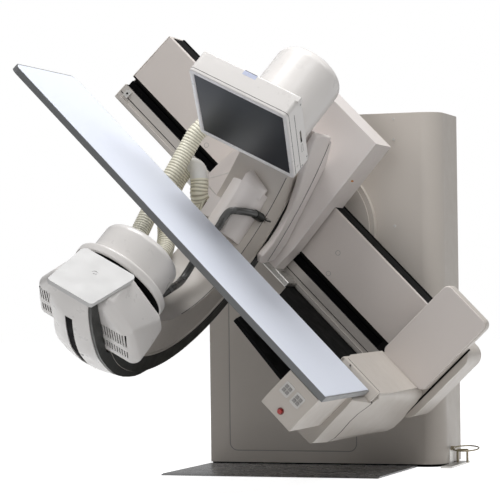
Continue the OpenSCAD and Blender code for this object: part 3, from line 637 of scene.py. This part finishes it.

# Painted shade: black discs make the gap between tube head and flange dark, down to the neck that
# joins them
head_top, flange_low = -0.800, -0.748
neck_radius = 0.165
shade_inside = neck_radius - 0.025
prism("gap_shade_low", c_m, circle(0.222, 72), circle(shade_inside, 72), head_top + 0.0005,
      head_top + 0.0025, painted_shade_black, "c_arm")
prism("gap_shade_high", c_m, circle(0.2385, 72), circle(shade_inside, 72), flange_low - 0.0025,
      flange_low - 0.0002, painted_shade_black, "c_arm")
block("neck_contact", c_m, (0.1962, -0.024, head_top + 0.010),
      (0.1990, 0.014, flange_low - 0.009), brass, "c_arm")
repeated("band_plug", c_m, [(0.052, 0.060, -1.1055)], (0.020, 0.020, 0.003), fitting_grey,
         "c_arm", is_round=True)


# -------------------------------------------------------- table beam: slot, end bracket, plugs

cover_face = -0.300
block("slot_shadow", table_m, (-1.228, -0.272, -0.109), (0.775, -0.239, -0.076), painted_shade_black,
      "table")
block("beam_end_bracket", table_m, (-1.204, cover_face - 0.011, -0.160),
      (-1.172, cover_face, -0.118), bare_steel, "table", edge=0.002)
# Painted shade: a near-black disc for the shade in the bracket's hole.
repeated("bracket_hole_shade", table_m, [(-1.188, cover_face - 0.0112, -0.139)],
         (0.012, 0.012, 0.0012), painted_shade_black, "table", turn=(90, 0, 0),
         is_round=True)
for k, (x, z) in enumerate(((0.276, 0.094), (0.316, -0.020), (-0.700, 0.094), (-0.660, -0.020))):
    prism("cover_plug_%d" % (k + 1),
          table_m @ Matrix.Translation((x, cover_face, z)) @ outline_to_front,
          circle(0.0135, 24), circle(0.0115, 24), -0.0002, 0.0004, fitting_grey,
          "table")


# -------------------------------------------------------- table foot: painted shade in gaps, a seam, a recess and on the beam's side; stop button

# Painted shade: a thin dark arc for the shade in a small recess near the tabletop's edge.
prism("recess_arc_shade", table_m @ Matrix.Translation((0.893, -1.224, -0.0605)),
      arc(0.023, -20, 110, 16), arc(0.0175, -20, 110, 16), 0.0, 0.004, seam_dark,
      "table", closed=False)
foot_outline = [(0.860, -0.110), (1.094, -0.110), (1.111, -0.118), (1.107, -0.150),
                (1.098, -0.205), (1.096, -0.260), (1.100, -0.320), (1.100, -0.372),
                (1.090, -0.412), (1.062, -0.434), (0.860, -0.434)]
# Painted shade: near-black pieces fill the gap between the foot's covers.
prism("foot_gap_shade", table_m @ outline_to_front, drawn_in(foot_outline, 1.001),
      drawn_in(foot_outline, 0.80), 1.1755, 1.1885, painted_shade_black, "table")
block("foot_gap_shade_top", table_m, (0.872, -1.1856, -0.108), (1.098, -1.1774, -0.0505),
      painted_shade_black, "table")
# Painted shade: a near-black strip in the seam of the rear cover.
block("rear_cover_seam_shade", table_m, (1.1415, -0.3866, -0.214), (1.1505, -0.3834, 0.262),
      painted_shade_black, "table")
# Painted shade: a thin black skin over the back of the beam's side face.
block("beam_side_shade", table_m, (-1.222, -0.2620, 0.2482), (0.836, -0.1045, 0.2494),
      black_plastic, "table")
button_m = (table_m @ Matrix.Translation((0.959, -1.936, -0.272))
            @ Matrix.Rotation(math.radians(104), 4, "X"))
prism("stop_collar", button_m, circle(0.0165, 24), circle(0.0125, 24), 0.0005, 0.0035,
      collar_red, "table")


# -------------------------------------------------------- floor, light and camera

def floor_finish():
    """A pale floor that takes the shadow and fades to white away from the machine."""
    fade_from, fade_to = 1.5, 5.0
    lift_near, lift_far = 0.86, 1.02
    mat = bpy.data.materials.new("pale floor")
    mat.use_nodes = True
    t = Tree(mat.node_tree)
    path = t.add("ShaderNodeLightPath").outputs
    seen = t.math("MAXIMUM", path["Is Camera Ray"], path["Is Glossy Ray"])
    spot = t.add("ShaderNodeTexCoord").outputs["Object"]
    distance = t.add("ShaderNodeVectorMath", operation="LENGTH", inputs={0: spot})
    fade = t.add("ShaderNodeMapRange",
                 inputs={"Value": distance.outputs["Value"], "From Min": fade_from,
                         "From Max": fade_to, "To Min": lift_near, "To Max": lift_far})
    lift = t.math("MULTIPLY", seen, fade.outputs["Result"])
    matt = t.add("ShaderNodeBsdfDiffuse", inputs={"Color": (0.8, 0.8, 0.8, 1)})
    glow = t.add("ShaderNodeEmission", inputs={"Color": (1, 1, 1, 1), "Strength": lift})
    both = t.add("ShaderNodeAddShader", inputs={0: matt.outputs[0], 1: glow.outputs[0]})
    t.add("ShaderNodeOutputMaterial", inputs={"Surface": both.outputs[0]})
    return mat


def lay_floor(reach, drop):
    """A square floor about the origin, a little below the machine's base."""
    mesh = bpy.data.meshes.new("floor")
    mesh.from_pydata([(x * reach, y * reach, -drop)
                      for x, y in ((-1, -1), (1, -1), (1, 1), (-1, 1))], [], [(0, 1, 2, 3)])
    mesh.materials.append(floor_finish())
    in_scene("floor", mesh)


def studio_world():
    """White to the camera, half as bright in reflections, and a dim fill light."""
    in_gloss, fill = 0.5, 0.05
    world = bpy.data.worlds.new("studio")
    bpy.context.scene.world = world
    world.use_nodes = True
    t = Tree(world.node_tree)
    path = t.add("ShaderNodeLightPath").outputs
    gloss = t.math("MULTIPLY", path["Is Glossy Ray"], in_gloss)
    seen = t.math("MAXIMUM", path["Is Camera Ray"], gloss)
    level = t.add("ShaderNodeMapRange", inputs={"Value": seen, "To Min": fill, "To Max": 1.0})
    sky = t.add("ShaderNodeBackground", inputs={"Color": (1, 1, 1, 1),
                                                "Strength": level.outputs["Result"]})
    t.add("ShaderNodeOutputWorld", inputs={"Surface": sky.outputs[0]})


def softbox(name, at, power, target=(0, -0.8, 1.2), size=3):
    data = bpy.data.lights.new(name, "AREA")
    data.shape = "RECTANGLE"
    data.size = data.size_y = size
    data.energy = power
    obj = in_scene(name, data)
    obj.location = at
    obj.rotation_euler = (Vector(target) - Vector(at)).to_track_quat("-Z", "Y").to_euler()


def set_camera(at, azimuth, pitch, roll, lens_mm, shift):
    """A camera turned from the front by azimuth, then tipped and rolled, in degrees."""
    azimuth, pitch, roll = (math.radians(a) for a in (azimuth, pitch, roll))
    back = Vector((math.sin(azimuth) * math.cos(pitch), -math.cos(azimuth) * math.cos(pitch),
                   math.sin(pitch)))
    level_right = Vector((math.cos(azimuth), math.sin(azimuth), 0))
    level_up = back.cross(level_right)
    right = level_right * math.cos(roll) - level_up * math.sin(roll)
    up = level_right * math.sin(roll) + level_up * math.cos(roll)
    lens = bpy.data.cameras.new("camera")
    lens.sensor_width = 36
    lens.lens = lens_mm
    lens.shift_y = shift
    lens.clip_end = 100
    camera = in_scene("camera", lens)
    camera.matrix_world = Matrix(((right.x, up.x, back.x, at[0]), (right.y, up.y, back.y, at[1]),
                                  (right.z, up.z, back.z, at[2]), (0, 0, 0, 1)))
    bpy.context.scene.camera = camera


lay_floor(reach=30.0, drop=0.001)
studio_world()
softbox("top", (0.0, -1.2, 7.0), 315, target=(0, -0.6, 1.0))
softbox("top_right", (4.0, -3.0, 7.0), 90)
softbox("right", (5.5, -0.5, 6.0), 90)
softbox("front", (1.0, -9.0, 4.0), 92)
softbox("left", (-4.5, -4.5, 6.0), 60)
set_camera(at=(3.645, -11.558, 0.931), azimuth=19.0, pitch=-1.123, roll=0.687,
           lens_mm=160.2288, shift=0.002512)
bpy.context.scene.view_settings.view_transform = "Standard"
